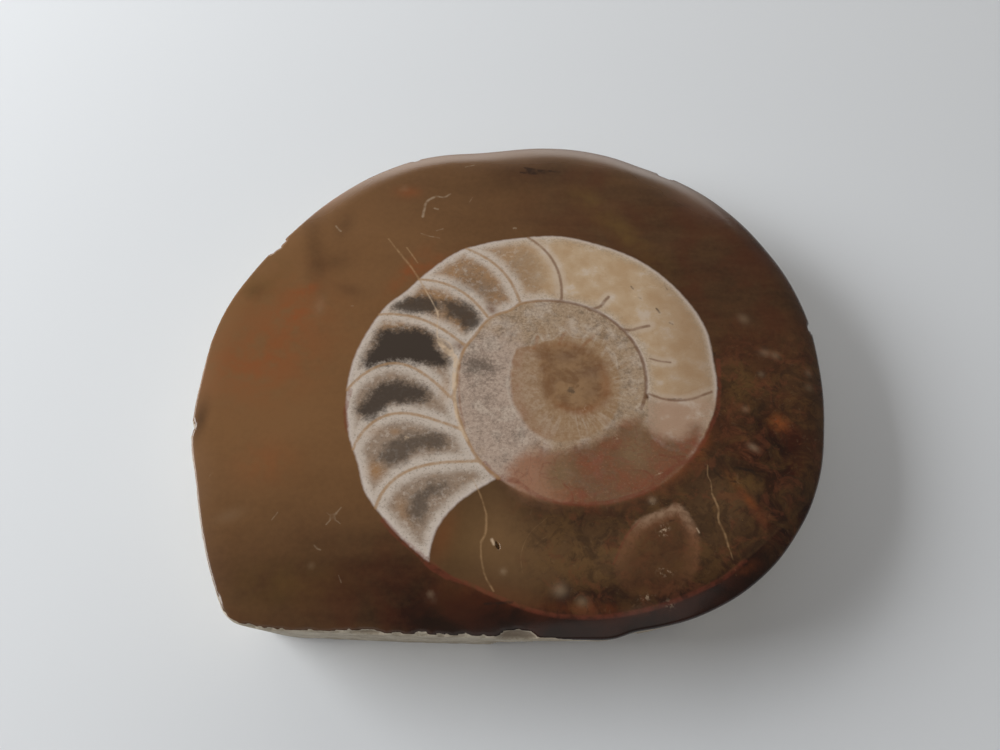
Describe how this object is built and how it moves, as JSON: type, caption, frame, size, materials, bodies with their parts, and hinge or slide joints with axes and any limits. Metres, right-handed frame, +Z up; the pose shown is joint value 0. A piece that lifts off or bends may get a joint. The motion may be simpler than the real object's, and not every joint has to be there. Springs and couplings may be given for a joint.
{
  "type": "polished fossil ammonite slab",
  "caption": "Flat polished slab of brown limestone with a coiled ammonite cut flush in its face, lying on its sawn underside.",
  "frame": {"origin": "middle of the bounding box, on the flat underside that the slab rests on", "axes": "+X along the straight front edge, the slab's longest extent; +Y away from that edge; +Z up out of the polished face"},
  "size_m": [0.0604, 0.0562, 0.0085],
  "materials": {
    "limestone": "polished face, sawn and ground sides and underside"
  },
  "bodies": {
    "root": {"ammonite_slab": "limestone"}
  },
  "joints": []
}
